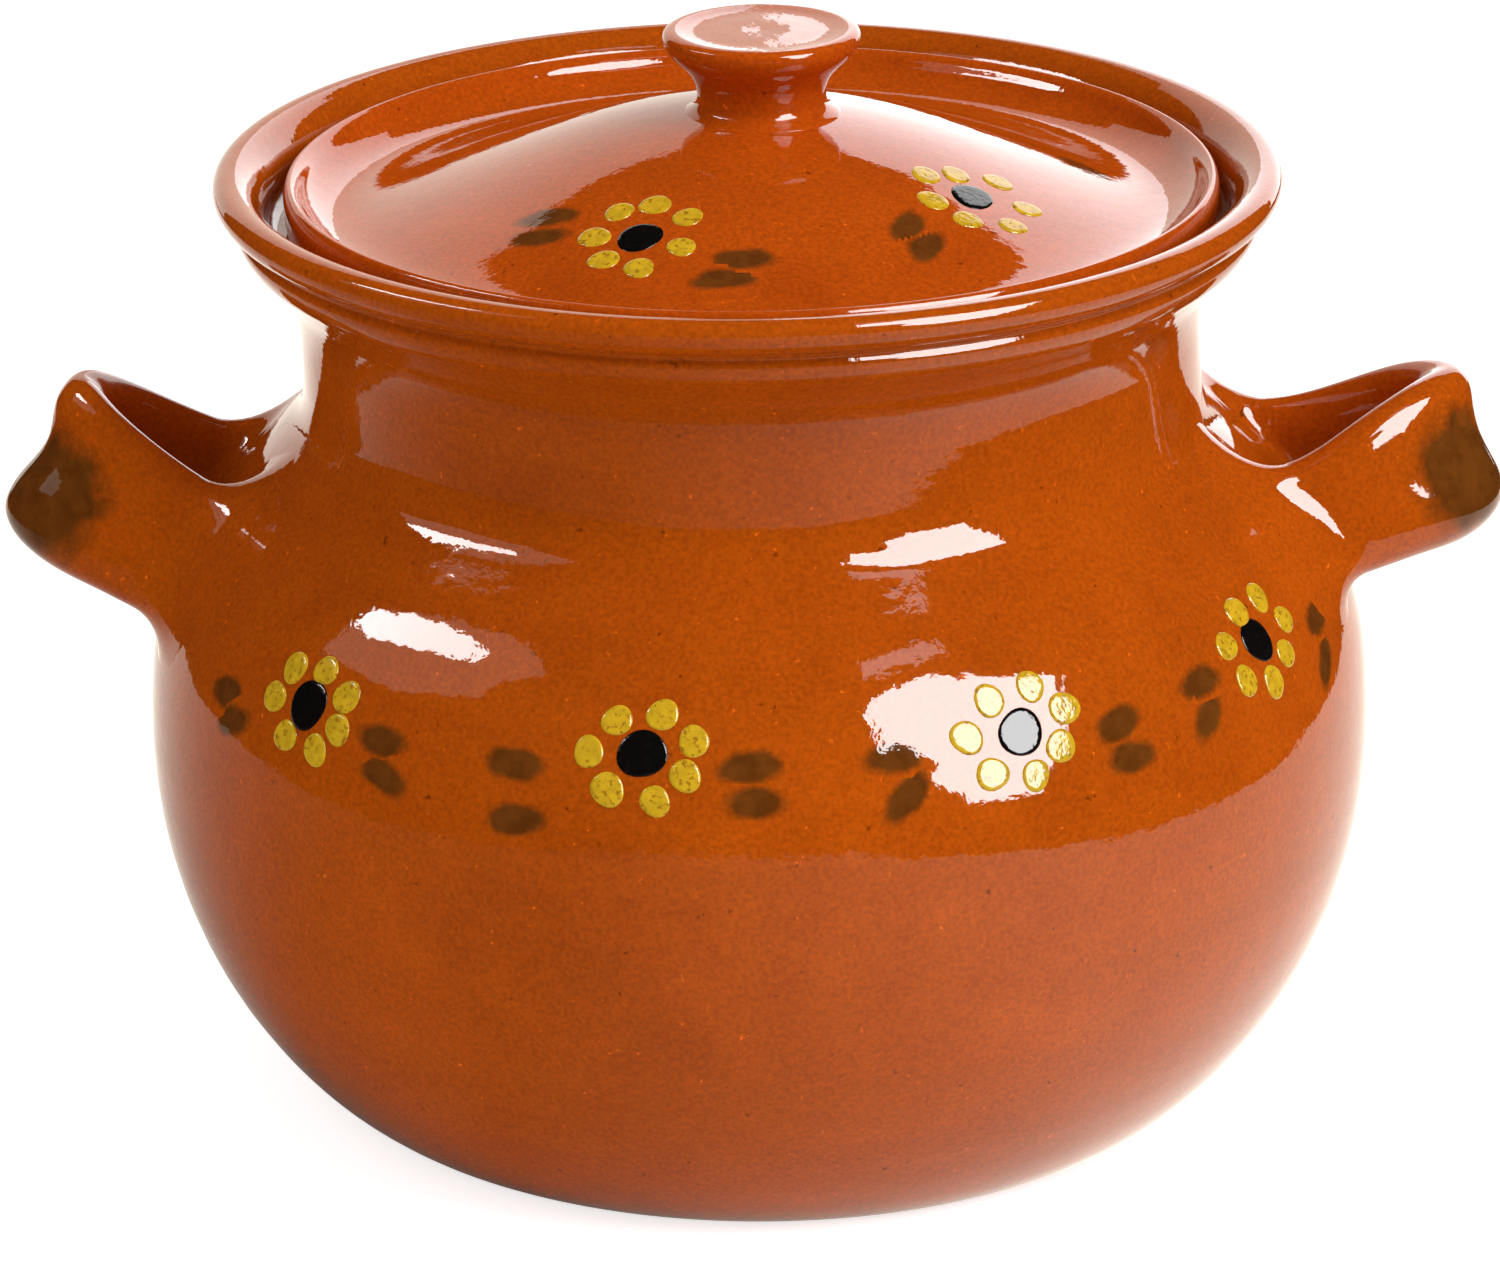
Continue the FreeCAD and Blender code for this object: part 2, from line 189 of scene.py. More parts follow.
def add(tree, kind, inputs=(), **settings):
    """One node with its settings; inputs gives each socket a value or another node's output."""
    made = tree.nodes.new(kind)
    for key, value in settings.items():
        setattr(made, key, value)
    for socket, value in dict(inputs).items():
        if isinstance(value, bpy.types.NodeSocket):
            tree.links.new(value, made.inputs[socket])
        else:
            made.inputs[socket].default_value = value
    return made


def cloud(tree, place, scale, low, high, detail=2.0):
    """Noise of one scale, spread so that low and high become 0 and 1."""
    noise = add(tree, "ShaderNodeTexNoise", {"Vector": place, "Scale": scale, "Detail": detail})
    spread = {"Value": noise.outputs["Fac"], "From Min": low, "From Max": high}
    return add(tree, "ShaderNodeMapRange", spread).outputs[0]


def blend(tree, share, first, second):
    """A colour part of the way from the first to the second.

    A Mix node has sockets for every kind of value: 0 is its share, 6 and 7 are its two colours and
    2 is the mixed colour.
    """
    mix = add(tree, "ShaderNodeMix", {0: share, 6: first, 7: second}, data_type="RGBA")
    return mix.outputs[2]


def scaled(colour, by):
    """A colour made darker or lighter."""
    return tuple(c * by for c in colour[:3]) + (1.0,)


def bumps(tree, place, scale, detail, strength, distance):
    """Surface directions of a noise taken as height, with its distance in metres."""
    noise = add(tree, "ShaderNodeTexNoise", {"Vector": place, "Scale": scale, "Detail": detail})
    height = {"Height": noise.outputs["Fac"], "Strength": strength, "Distance": distance}
    return add(tree, "ShaderNodeBump", height).outputs[0]


def under_glaze(tree, shade, relief, coat, coat_roughness):
    """Rough coloured clay or slip under a coat of clear glaze, as the tree's surface."""
    body = add(tree, "ShaderNodeBsdfPrincipled", {
        "Base Color": shade, "Roughness": 0.5, "Specular IOR Level": 0.0, "Coat Weight": coat,
        "Coat Roughness": coat_roughness, "Coat IOR": 1.4, "Normal": relief, "Coat Normal": relief})
    add(tree, "ShaderNodeOutputMaterial", {"Surface": body.outputs[0]})


print("a colour at half its strength:", scaled((0.5, 0.2, 0.1, 1), 0.5))

# %% [markdown]
# ### The glazed clay
# Fired clay isn't one brown. Its colour drifts in clouds where the kiln was hotter, is mottled
# with red, runs in bands left by the wheel, and carries fine grain with pale and dark flecks. Each
# is a noise of its own scale that mixes one shade with another. The brush marks follow a map on
# the mesh, because a potter puts them beside the flowers and not at random.

# %% The glazed clay
CLAY = (0.54, 0.091, 0.0035, 1)
LID_CLAY = (0.61, 0.09, 0.004, 1)
RED_MOTTLING = (0.16, 0.012, 0.001, 1)
DARK_GRAIN = (0.05, 0.006, 0.001, 1)
BRUSHED = (0.085, 0.027, 0.004, 1)
WHEEL_BANDS = (3, 3, 150)  # noise this much finer upwards than sideways runs in bands


def brushed(tree, place, shade):
    """The shade with brown brush marks over it, wherever the Strokes map comes near 0, 0.

    A mark fades out where the map's distance from 0, 0 plus 0.7 of a ragged noise goes from 1.08
    to 1.5.
    """
    spot = add(tree, "ShaderNodeUVMap", uv_map="Strokes").outputs[0]
    ragged = add(tree, "ShaderNodeTexNoise", {"Vector": place, "Scale": 230, "Detail": 4.0})
    reach = add(tree, "ShaderNodeVectorMath", {0: spot}, operation="LENGTH").outputs["Value"]
    wavy = add(tree, "ShaderNodeMath", {0: ragged.outputs["Fac"], 1: 0.7, 2: reach},
               operation="MULTIPLY_ADD").outputs[0]
    fading = {"Value": wavy, "From Min": 1.5, "From Max": 1.08}
    inside = add(tree, "ShaderNodeMapRange", fading).outputs[0]
    strong = add(tree, "ShaderNodeMath", {0: inside, 1: 0.92}, operation="MULTIPLY").outputs[0]
    brown = blend(tree, cloud(tree, place, 300, 0.35, 0.65), BRUSHED, scaled(BRUSHED, 1.5))
    return blend(tree, strong, shade, brown)


def glazed(name, colour):
    """Clay under clear glaze: clouds, mottling, wheel bands, grain, flecks and brush marks."""
    material, tree = new_material(name)
    place = add(tree, "ShaderNodeTexCoord").outputs["Object"]
    # Slow clouds and a redder mottling of a few millimetres.
    shade = blend(tree, cloud(tree, place, 9, 0.3, 0.7), scaled(colour, 0.82), scaled(colour, 1.1))
    redder = blend(tree, 0.18, shade, RED_MOTTLING)
    shade = blend(tree, cloud(tree, place, 70, 0.35, 0.65, 4.0), redder, shade)
    # Bands left by the wheel.
    drawn_out = add(tree, "ShaderNodeMapping", {"Vector": place, "Scale": WHEEL_BANDS}).outputs[0]
    shade = blend(tree, cloud(tree, drawn_out, 1.0, 0.42, 0.72, 5.0), shade, scaled(colour, 0.9))
    # Grain under a millimetre, then sparse pale and dark flecks.
    grainy = blend(tree, 0.28, shade, DARK_GRAIN)
    shade = blend(tree, cloud(tree, place, 1200, 0.35, 0.65, 3.0), grainy, shade)
    shade = blend(tree, cloud(tree, place, 700, 0.70, 0.80), shade, scaled(colour, 1.6))
    shade = blend(tree, cloud(tree, place, 520, 0.71, 0.78), shade, scaled(colour, 0.35))
    # The brush marks, and a glaze that is all but even.
    shade = brushed(tree, place, shade)
    under_glaze(tree, shade, bumps(tree, place, 260, 3.0, 0.1, 0.0005), 1.0, 0.03)
    return material


pot_glaze = glazed("Glazed clay", CLAY)
ear_glaze = glazed("Glazed clay, ears", CLAY)
lid_glaze = glazed("Glazed clay, lid", LID_CLAY)
for finish in (pot_glaze, ear_glaze, lid_glaze):
    print(f"{finish.name}: {len(finish.node_tree.nodes)} nodes")

# %% [markdown]
# ### The slip
# Slip is clay thinned with water, here stained yellow or black and dripped on before the glazing.
# It dries a little rough and holds specks, so it gets the same coat as the clay over a finer and
# stronger bump.

# %% The slip
YELLOW, YELLOW_SPECK = (0.60, 0.36, 0.014, 1), (0.36, 0.16, 0.01, 1)
BLACK, BLACK_SPECK = (0.004, 0.003, 0.003, 1), (0.008, 0.005, 0.004, 1)


def slip(name, colour, speck, speck_scale):
    """A raised drop of coloured slip under the same glaze, with specks of another shade."""
    material, tree = new_material(name)
    place = add(tree, "ShaderNodeTexCoord").outputs["Object"]
    pale, deep = scaled(colour, 1.15), scaled(colour, 0.85)
    shade = blend(tree, cloud(tree, place, 500, 0.3, 0.7), deep, pale)
    shade = blend(tree, cloud(tree, place, speck_scale, 0.56, 0.66, 3.0), shade, speck)
    under_glaze(tree, shade, bumps(tree, place, 900, 2.0, 0.2, 0.0004), 0.9, 0.05)
    return material


yellow = slip("Yellow slip", YELLOW, YELLOW_SPECK, 1100)
black = slip("Black slip", BLACK, BLACK_SPECK, 900)
for finish in (yellow, black):
    print(f"{finish.name}: {len(finish.node_tree.nodes)} nodes")

# %% [markdown]
# ## The pot
# The pot was thrown from one lump, so one outline makes all of it. It runs from the middle of the
# foot, up the outside, over the rim, down the inside and back to the middle of the floor, so that
# the wall is closed. A solidified shell would have the same thickness everywhere, which the rim
# and its seat for the lid don't.

# %% The pot's outline
OVAL = (47.4, 68.0, 67.6, 80.0)  # the belly's oval: across, middle, out, up
WALL = 6.2


def oval(height, inward=0.0):
    """Radius of the lower belly, drawn in by the wall.

    It is an oval whose middle lies across from the axis at the middle height, half as wide as out
    and half as tall as up.
    """
    across, middle, out, up = OVAL
    return across + (out - inward) * math.sqrt(1 - ((height - middle) / (up - inward)) ** 2)


foot = [(0, 1.3), (40, 1.2), (66, 0.8), (75, 0.15), (79, 0.0), (82.6, 0.35), (85.4, 2.0)]
belly = [(oval(z), z) for z in (5, 10, 18, 28, 40, 54)]
shoulder = [(115, 68), (114.7, 78), (113.2, 89), (111.4, 95), (106.2, 105), (98.2, 115), (93.4, 119.9)]
neck = [(88.8, 124.7), (86.1, 127.7), (84.6, 130.3), (83.8, 133), (83.5, 136.4), (83.4, 141),
        (83.4, 146), (84.1, 151.4), (85.6, 155.2), (88.6, 159.3), (91.4, 162.2)]
lip = [(92.8, 163.5), (93.8, 165.1), (94.4, 166.7), (94.3, 167.7), (93.9, 168.5), (94.5, 169.3),
       (96.5, 170.5), (98.1, 172.5), (98.4, 174.3), (97.4, 176), (95.4, 176.5), (92.6, 175.4)]
seat = [(90.2, 172.6), (89.1, 169.6), (88.7, 166.8), (87, 165.5), (83, 165.3), (80.2, 164.4),
        (79, 161.8)]
inside = [(77, 154), (76.2, 146), (77, 136), (79.5, 127), (84.8, 117.5), (91.8, 109.6), (98, 102),
          (103, 94.5), (106.4, 86), (108.3, 76), (108.8, 68)]
inside += [(oval(z, WALL), z) for z in (54, 40, 28, 18)]
floor = [(84.5, 10.6), (76, 8.0), (60, 7.5), (30, 7.5), (0, 7.5)]
pot_outline = outline(foot + belly + shoulder + neck + lip + seat + inside + floor, 318)
print("pot outline, largest radius and height in mm:", pot_outline.max(axis=0).round(2))

# %% [markdown]
# ### What the hand leaves
# A thrown pot is never quite round. It sags a little while it is soft, so the rim leans to the
# left and sits lower there, and fingers leave a slow wander and fine rings in the wall. Noise
# would look like hammered metal, so a few long waves do it.

# %% The pot
RIM_LEAN, LID_LEAN, KNOB_LEAN = -2.4, -1.6, 0.3
TIPPED = 0.0115  # the rim's rise for each mm to the right
POT_UNEVEN, LID_UNEVEN, KNOB_UNEVEN = 1.0, 0.3, 0.0  # share of what the hand leaves


def lean(points, shift, way=1):
    """Points moved sideways by shift and tipped up on the right, more and more up to the rim.

    With way = -1 the same moves are taken back.
    """
    moved = points.copy()
    moved[..., 0] += way * shift * ramp(points[..., 2], 100, 165)
    moved[..., 2] += way * TIPPED * points[..., 0] * ramp(points[..., 2], 118, 160)
    return moved


def thrown(points, strength):
    """Points pushed in by what the hand leaves: a slow wander round the pot and fine rings.

    The wander is a sine of twice and one of three times the turn, each twisted with the height,
    and the rings are a sine of the height that speeds up and slows down.
    """
    angle, height = np.arctan2(points[..., 1], points[..., 0]), points[..., 2]
    wander = 0.5 + 0.3 * np.sin(2 * angle + 0.03 * height + 1)
    wander += 0.2 * np.sin(3 * angle - 0.05 * height)
    rings = 0.5 + 0.5 * np.sin(0.9 * height + 1.2 * np.sin(0.23 * height) + 0.7 * np.sin(angle))
    inward = strength * (0.4 * wander + 0.05 * rings) * ramp(height, 2, 20)
    radius = np.hypot(points[..., 0], points[..., 1])
    moved = points.copy()
    moved[..., :2] *= np.where(radius > 1, 1 - inward / np.maximum(radius, 1), 1)[..., None]
    return moved


def from_the_wheel(name, line, columns, uneven, shift, body, material):
    """A piece from its outline, turned, made a little uneven and leaned."""
    points = lean(thrown(turn(line, columns), uneven), shift)
    return piece_of(name, points, triangles(ring_numbers(len(line), columns)), body, material)


pot = from_the_wheel("Pot", pot_outline, 288, POT_UNEVEN, RIM_LEAN, "pot", pot_glaze)
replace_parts(pot, "pot_body")

# %% [markdown]
# ## The lid
# The lid is a dome with a channel round it and an upturned edge that lies on the seat inside the
# rim. The knob is a separate bit of clay, turned with a narrow waist under a flat disc so that
# fingers get under it. Both are outlines again, which run over the top and back underneath.

# %% The lid and its knob
over = [(0, 187.2), (14, 185.8), (20, 184.7), (30, 182.2), (40, 178.9), (50, 175.2), (60, 171.6),
        (68, 169), (74, 168.1), (79.5, 169.4), (82.6, 172.0), (84.0, 174.0), (85.0, 174.5),
        (85.9, 173.4)]
under = [(86, 170), (85.6, 167), (84, 165.85), (80, 165.8), (75, 164.2), (70, 163.2), (64, 164.4),
         (56, 167.6), (48, 170.8), (38, 174.4), (26, 177.8), (12, 180.2), (0, 180.8)]
lid_outline = outline(over + under, 240)[::-1]
lid = from_the_wheel("Lid", lid_outline, 256, LID_UNEVEN, LID_LEAN, "lid", lid_glaze)
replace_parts(lid, "lid_plate")

waist = [(0, 182.5), (9, 182.6), (14.2, 184.2), (14.6, 185.3), (12.6, 187.0), (11.9, 189.2),
         (12.3, 191.6)]
disc = [(14.4, 194.6), (17.2, 197.4), (18.1, 199.4), (17.8, 200.9), (16.6, 201.45), (14.6, 201.3),
        (8, 201.1), (0, 201.0)]
knob_outline = outline(waist + disc, 110, bend=6.0)
knob = from_the_wheel("Knob", knob_outline, 128, KNOB_UNEVEN, KNOB_LEAN, "lid",
                      lid_glaze)
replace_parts(knob, "lid_knob")

# %% [markdown]
# ## The ears
# Each ear is a strap of clay bent into a loop, pressed on at both ends and smoothed into the wall.
# A tube along a path would keep one section, but a strap that fingers have shaped is broad at the
# roots and pinched at the tip. So a few stations are set along the loop, each with the same
# thirteen corners round the strap. One spline runs along the loop through equal corners and a
# second runs round the strap.

# %% The strap
# Round the strap: each corner's share of the height, and how far it stands out on leg and tip.
UP = np.array([0.0, 0.06, 0.25, 0.44, 0.63, 0.84, 0.955, 1.0, 0.955, 0.83, 0.6, 0.34, 0.1])
LEG = np.array([1.0, 4.2, 5.3, 4.8, 4.0, 2.8, 1.2, -1.6, -3.2, -4.2, -3.6, -1.8, -0.8])
LEFT_TIP = np.array([-1.0, 3.6, 7.1, 3.8, -1.2, -3.0, -5.2, -8.0, -10.6, -12.2, -10.0, -6.0, -4.0])
RIGHT_TIP = np.array([-2.0, 2.0, 4.9, 2.8, -0.2, -1.6, -3.4, -6.8, -10.4, -12.0, -10.0, -6.5, -4.5])
# Stations from a root to the tip: place out and sideways, the way they face, share of the tip.
LOOP = np.array([(82, 19.6, -90, 0), (98, 18.6, -81, 0), (111, 15.9, -69, 0.1),
                 (122.5, 12.2, -53, 0.45), (131, 7.3, -30, 0.85), (134.5, 0, 0, 1)])
# Heights of the crest from the front root to the back one, and of the bottom as far as the tip.
LEFT_CREST = [113.5, 117.5, 124.6, 131.0, 134.4, 134.8, 134.4, 131.2, 124.8, 118.5, 115.0]
LEFT_BOTTOM = [82.5, 88.5, 92.5, 97.0, 99.5, 100.5]
RIGHT_CREST = [122.5, 123.3, 130.3, 135.2, 136.6, 136.6, 136.2, 134.0, 128.9, 124.4, 125.0]
RIGHT_BOTTOM = [94.0, 98.5, 101.4, 103.8, 104.6, 104.8]
STRAP_ROWS, STRAP_COLUMNS = 401, 120
OVERLAP = 4


def strap(side, tip, crest, bottom):
    """The bare strap as a grid: along the loop from the front root to the back one, and round it.

    A station stands at its place in plan and faces its own way. Its corners lie between bottom and
    crest by their share of the height, and stand out by the leg's or the tip's distances. Round
    the strap the spline runs past its start by an overlap, so that it closes without a kink.
    """
    stations = np.concatenate([LOOP[:-1] * (1, -1, 1, 1), LOOP[-1:], LOOP[-2::-1] * (1, 1, -1, 1)])
    x, y, facing, tipness = stations.T[:, :, None]
    bottom = np.array(bottom + bottom[-2::-1])[:, None]
    height = bottom + (np.array(crest)[:, None] - bottom) * UP
    out, facing = LEG + (tip - LEG) * tipness, np.radians(facing)
    net = np.stack([side * (x + out * np.cos(facing)), y + out * np.sin(facing), height], -1)
    count, corners = net.shape[:2]
    lines = spline(net.reshape(count, -1))(np.linspace(0, 1, STRAP_ROWS))
    lines = lines.reshape(STRAP_ROWS, corners, 3)
    closed = np.concatenate([lines[:, -OVERLAP:], lines, lines[:, :OVERLAP + 1]], 1).transpose(1, 0, 2)
    curve = spline(closed.reshape(len(closed), -1))
    start, end = curve.knots[OVERLAP], curve.knots[OVERLAP + corners]
    share = np.linspace(start, end, STRAP_COLUMNS, endpoint=False)
    return curve(share).reshape(STRAP_COLUMNS, STRAP_ROWS, 3).transpose(1, 0, 2)


print("stations along an ear:", 2 * len(LOOP) - 1, "with corners:", len(UP))

# %% [markdown]
# ### Joining a strap to the wall
# A strap that just runs into the wall meets it in a hard line, and a Boolean with a bevel is slow
# and leaves ragged edges. Instead, where each line along the strap meets the wall, a short curve
# takes over. It leaves the wall along the wall's own surface and arrives along the strap, as clay
# does when a thumb has smoothed it.

# %% The wall about a root
ABOUT = 105.0  # the wall's radius about a root
outside = pot_outline[: np.argmax(pot_outline[:, 1])]
outside = outside[np.argmax(outside[:, 0] > 84):]


def wall_point(side, place, depth):
    """Points on the pot's outside from (turn in mm of arc, height), moved in by a depth."""
    angle, height = place[..., 0] / ABOUT, place[..., 1]
    radius = np.interp(height, outside[:, 1], outside[:, 0]) - depth
    return np.stack([side * radius * np.cos(angle), radius * np.sin(angle), height], -1)


def thumb_widths(away, outer):
    """How far the smoothing reaches up the strap and over the wall, by where it leaves the root.

    It is 5.5 mm, less towards the loop's inside, and more upwards and towards its outside.
    """
    inner, outer, above = (np.clip(v, 0, 1) for v in (-outer, outer, away[:, 1]))
    width = 5.5 - 2.0 * inner + 2.5 * above + 4.5 * outer
    return width, width + 4.0 * outer


print("the pot's outside, from and to (radius, height):", outside[0].round(1), outside[-1].round(1))

# %% The joint
CURVE_ROWS, HALF_ROWS = 11, 46
SKIN, HEM, DEEP, CORE = 0.02, 0.5, 3.0, 3.5  # depths in the wall


def joined(half, side):
    """Half a strap, root first, cut at the wall and led into it; the first row is a point inside.

    Touch is where a line leaves the wall. The joining curve has three guide points: one on the wall
    at the joint's width away from touch, one just past touch, and one on the strap at that width.
    In front of the curve two rings, a hem and a deep one, close the strap inside the wall.
    """
    count, around = half.shape[:2]
    line = np.arange(around)
    wall = np.interp(half[..., 2], outside[:, 1], outside[:, 0])
    clear = np.hypot(half[..., 0], half[..., 1]) - wall
    after = np.argmax(clear > 0, axis=0)
    steps = np.linalg.norm(np.diff(half, axis=0), axis=2)
    gone = np.concatenate([np.zeros((1, around)), np.cumsum(steps, axis=0)])

    def step_at(length):
        """The row number, with its fraction, at a length along each line."""
        upper = np.clip(np.argmax(gone > length, axis=0), 1, count - 1)
        below = gone[upper - 1, line]
        return upper - 1 + (length - below) / (gone[upper, line] - below)

    def at(step):
        """The point of each line at a row number with a fraction."""
        lower = np.clip(np.floor(step).astype(int), 0, count - 2)
        part = (step - lower)[..., None]
        return half[lower, line] * (1 - part) + half[lower + 1, line] * part

    part = clear[after - 1, line] / (clear[after - 1, line] - clear[after, line])
    touch = at(after - 1 + part)
    start = gone[after - 1, line] * (1 - part) + gone[after, line] * part
    place = np.stack([np.arctan2(touch[:, 1], side * touch[:, 0]) * ABOUT, touch[:, 2]], -1)
    ahead = np.roll(place, -2, 0) - np.roll(place, 2, 0)
    away = np.stack([ahead[:, 1], -ahead[:, 0]], -1) / np.linalg.norm(ahead, axis=1, keepdims=True)
    away *= np.sign(np.sum(away * (place - place.mean(0))))
    width, spread = thumb_widths(away, away[:, 0] * np.sign(place[:, 0].mean()))
    edge = place + away * spread[:, None]
    first = wall_point(side, edge, SKIN)
    guide = at(step_at(start + spread**2 / (2 * ABOUT)))
    last_step = step_at(start + width)
    t = np.linspace(0, 1, CURVE_ROWS)[:, None, None]
    curve = (1 - t) ** 2 * first + 2 * t * (1 - t) * guide + t**2 * at(last_step)
    share = np.linspace(0, 1, HALF_ROWS)[1:, None]
    rest = at(last_step + (count - 1 - last_step) * share)
    hem = wall_point(side, edge + away * 1.2, HEM)[None]
    deep = wall_point(side, edge - away, DEEP)[None]
    core = np.broadcast_to(wall_point(side, place.mean(0)[None], CORE)[None], hem.shape)
    return np.concatenate([core, deep, hem, curve, rest])


# %% Both ears
DIMPLE_DEPTH, DIMPLE_REACH = 1.3, 4.2
LEFT_DIMPLE, RIGHT_DIMPLE = (-131.5, -8, 125), (132, -6, 129)


def ear(name, side, tip, crest, bottom, dimple):
    """One ear: both halves joined to the wall, with a finger's dimple pressed into its tip.

    The dimple is a bell curve of the distance from its middle. The halves meet at the tip, and the
    join is made on the pot before it leans.
    """
    bare = lean(strap(side, tip, crest, bottom), RIM_LEAN, way=-1)
    near = np.linalg.norm(bare - np.array(dimple), axis=2)
    bare[..., 0] -= side * DIMPLE_DEPTH * np.exp(-((near / DIMPLE_REACH) ** 2))
    middle = STRAP_ROWS // 2
    front, back = joined(bare[: middle + 1], side), joined(bare[: middle - 1: -1], side)
    points = lean(thrown(np.concatenate([front, back[-2::-1]]), POT_UNEVEN), RIM_LEAN)
    number = ring_numbers(*points.shape[:2])
    faces = triangles(number if side > 0 else number[:, ::-1])
    piece = piece_of(name, points, faces, "pot", ear_glaze)
    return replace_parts(piece, name.lower())


left_ear = ear("Left_ear", -1, LEFT_TIP, LEFT_CREST, LEFT_BOTTOM, LEFT_DIMPLE)
right_ear = ear("Right_ear", 1, RIGHT_TIP, RIGHT_CREST, RIGHT_BOTTOM, RIGHT_DIMPLE)

# %% [markdown]
# ## The flowers
# Each flower is a ring of seven drops of yellow slip about a black one. A drop stands a little
# proud of the clay, so it catches light of its own, which paint or bump in the material wouldn't.
# It is a shallow dome that sinks into the clay at its edge, laid square on the slope under it.

# %% Where a drop lies
def seats(profile, by, turn_deg, value):
    """Place, sideways, upward and outward directions on a turned surface.

    The outline is looked up by its radius (by = 0) or its height (by = 1). The upward direction is
    the way to a second look-up a little further on.
    """
    rows = profile if profile[-1, by] > profile[0, by] else profile[::-1]
    here, ahead = (np.stack([np.interp(v, rows[:, by], rows[:, k]) for k in (0, 1)], -1)
                   for v in (value, value + 0.4))
    upward = (ahead - here) / np.linalg.norm(ahead - here, axis=-1, keepdims=True)
    upward *= np.sign(upward[..., 1:])
    zero = np.zeros_like(here[..., 0])
    c, s = np.cos(np.radians(turn_deg)) + zero, np.sin(np.radians(turn_deg)) + zero
    point = np.stack([here[..., 0] * c, here[..., 0] * s, here[..., 1]], -1)
    sideways = np.stack([-s, c, zero], -1)
    climb = np.stack([upward[..., 0] * c, upward[..., 0] * s, upward[..., 1]], -1)
    return point, sideways, climb, np.cross(sideways, climb)


print("outward at the foot of the neck:", seats(outside, 1, 0.0, np.array(120.0))[3].round(2))

# %% The drops
UNEVEN_AND_LEAN = {"pot": (POT_UNEVEN, RIM_LEAN), "lid": (LID_UNEVEN, LID_LEAN)}
DROP_SIDES = 28


def drops(name, where, size, proud, body, material):
    """Shallow domes on their seats, all in one mesh.

    Ring by ring a dome's radius and rise are shares of its size and height; the first rings are
    sunk into the clay. Its edge wavers by two slow waves and its size varies a little.
    """
    point, sideways, climb, normal = [part.reshape(-1, 1, 1, 3) for part in where]
    random, count = np.random.default_rng(7), len(point)
    reach = np.array([0, 0.9, 1.04, 1.0, 0.93, 0.85, 0.75, 0.5, 0.25, 0])[:, None]
    rise = np.array([-0.9, -0.9, -0.3, 0.2, 0.68, 0.9, 0.98, 1.0, 1.0, 1.0])[:, None] * proud
    angle = np.linspace(0, 2 * np.pi, DROP_SIDES, endpoint=False)
    phase, grown = random.uniform(0, 6.3, (count, 1, 1)), random.uniform(0.94, 1.07, (count, 1, 1))
    waver = 1 + 0.05 * np.cos(2 * angle + phase) + 0.03 * np.cos(3 * angle - 2 * phase)
    radius = (size * grown * reach * waver)[..., None]
    across, along = radius * np.cos(angle)[:, None], radius * np.sin(angle)[:, None]
    points = point + across * sideways + along * climb + rise[..., None] * normal
    one = triangles(ring_numbers(len(reach), len(angle)))
    faces = (one + (np.arange(count) * reach.size * angle.size)[:, None, None]).reshape(-1, 3)
    uneven, shift = UNEVEN_AND_LEAN[body]
    return piece_of(name, lean(thrown(points, uneven), shift), faces, body, material)


# %% The flowers
# Each flower: the place of its middle, then the clock angle and distance of its seven drops. On
# the belly a place is a turn and a height, and on the lid it is mm to the right and to the back.
BELLY = [
    ((-136.8, 98.2),
     [(137, 9.1), (81, 8.2), (28, 9.5), (-18, 9.0), (-64, 10.0), (-114, 9.3), (-172, 9.3)]),
    ((-100.9, 101.3),
     [(129, 8.1), (69, 8.6), (19, 9.5), (-28, 8.8), (-74, 10.3), (-124, 9.8), (-177, 9.5)]),
    ((-65.2, 102.0),
     [(122, 8.5), (64, 9.6), (18, 10.1), (-32, 8.3), (-82, 9.7), (-130, 10.2), (177, 10.2)]),
    ((-33.2, 104.1),
     [(101, 6.9), (44, 10.1), (2, 11.4), (-40, 8.9), (-91, 9.7), (-140, 10.0), (168, 9.2)]),
]
BELLY += [((turned + 180, height - 0.5), ring[::-1]) for (turned, height), ring in BELLY]
LID = [
    ((-19.8, -44.9),
     [(114, 9.4), (73, 9.1), (25, 9.4), (-29, 8.5), (-90, 8.7), (-143, 7.9), (163, 8.5)]),
    ((39.9, -24.8),
     [(159, 8.9), (113, 7.3), (62, 10.6), (9, 10.1), (-44, 9.8), (-97, 8.9), (-144, 8.9)]),
    ((0.5, 47.5),
     [(110, 9.0), (62, 9.3), (12, 9.4), (-40, 8.6), (-88, 9.2), (-138, 9.0), (165, 9.1)]),
]
PETAL, PETAL_PROUD = 2.8, 0.3
CENTRE, CENTRE_PROUD = 4.15, 0.22
UPHILL = 0.74  # height gained for each mm up the shoulder's slope
dome = lid_outline[np.argmax(lid_outline[:, 0]):]
dome = dome[dome[:, 0] < 72]  # the lid's top inside its channel


def belly_seats(middles, offsets):
    """Seats on the belly at offsets in mm sideways and up the slope from middles (turn, height)."""
    turned, height = middles[:, None, 0], middles[:, None, 1]
    radius = np.interp(height, *outside.T[::-1])
    turned = turned + np.degrees(offsets[..., 0] / radius)
    return seats(outside, 1, turned, height + UPHILL * offsets[..., 1])


def lid_seats(middles, offsets):
    """Seats on the lid at offsets in mm to the right and back from middles (right, back)."""
    x, y = np.moveaxis(middles[:, None] + offsets, -1, 0)
    return seats(dome, 0, np.degrees(np.arctan2(y, x)), np.hypot(x, y))


